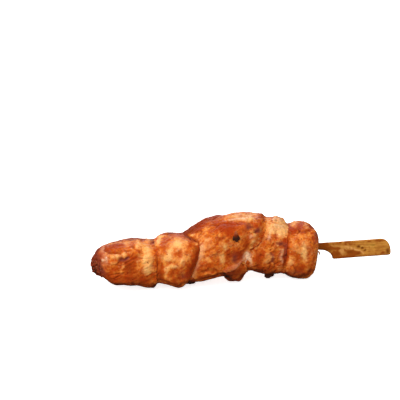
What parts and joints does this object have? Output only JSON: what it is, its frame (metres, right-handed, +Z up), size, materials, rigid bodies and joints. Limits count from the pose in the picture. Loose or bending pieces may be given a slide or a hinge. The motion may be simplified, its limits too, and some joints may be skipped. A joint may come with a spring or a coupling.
{
  "type": "chicken kebab skewer",
  "caption": "Grilled chunks of chicken in an orange-brown marinade, threaded on a bamboo stick with a flat handle and lying on their side.",
  "frame": {"origin": "middle of the bounding box's underside, on the surface that the skewer lies on", "axes": "+X along the stick from its point to its handle, +Z up, -Y the side that the handle's broad face looks to"},
  "size_m": [0.1606, 0.0316, 0.0345],
  "materials": {
    "grilled_chicken": "oily browned meat, orange to red-brown with charred edges and pale patches",
    "bamboo": "matte bamboo with fine grain along the stick, stained by the marinade"
  },
  "bodies": {
    "root": {"bamboo_skewer": "bamboo", "chicken_1_charred_end": "grilled_chicken", "chicken_2_pillow": "grilled_chicken", "chicken_3_large": "grilled_chicken", "chicken_4_small": "grilled_chicken", "chicken_5_handle_end": "grilled_chicken"}
  },
  "joints": []
}
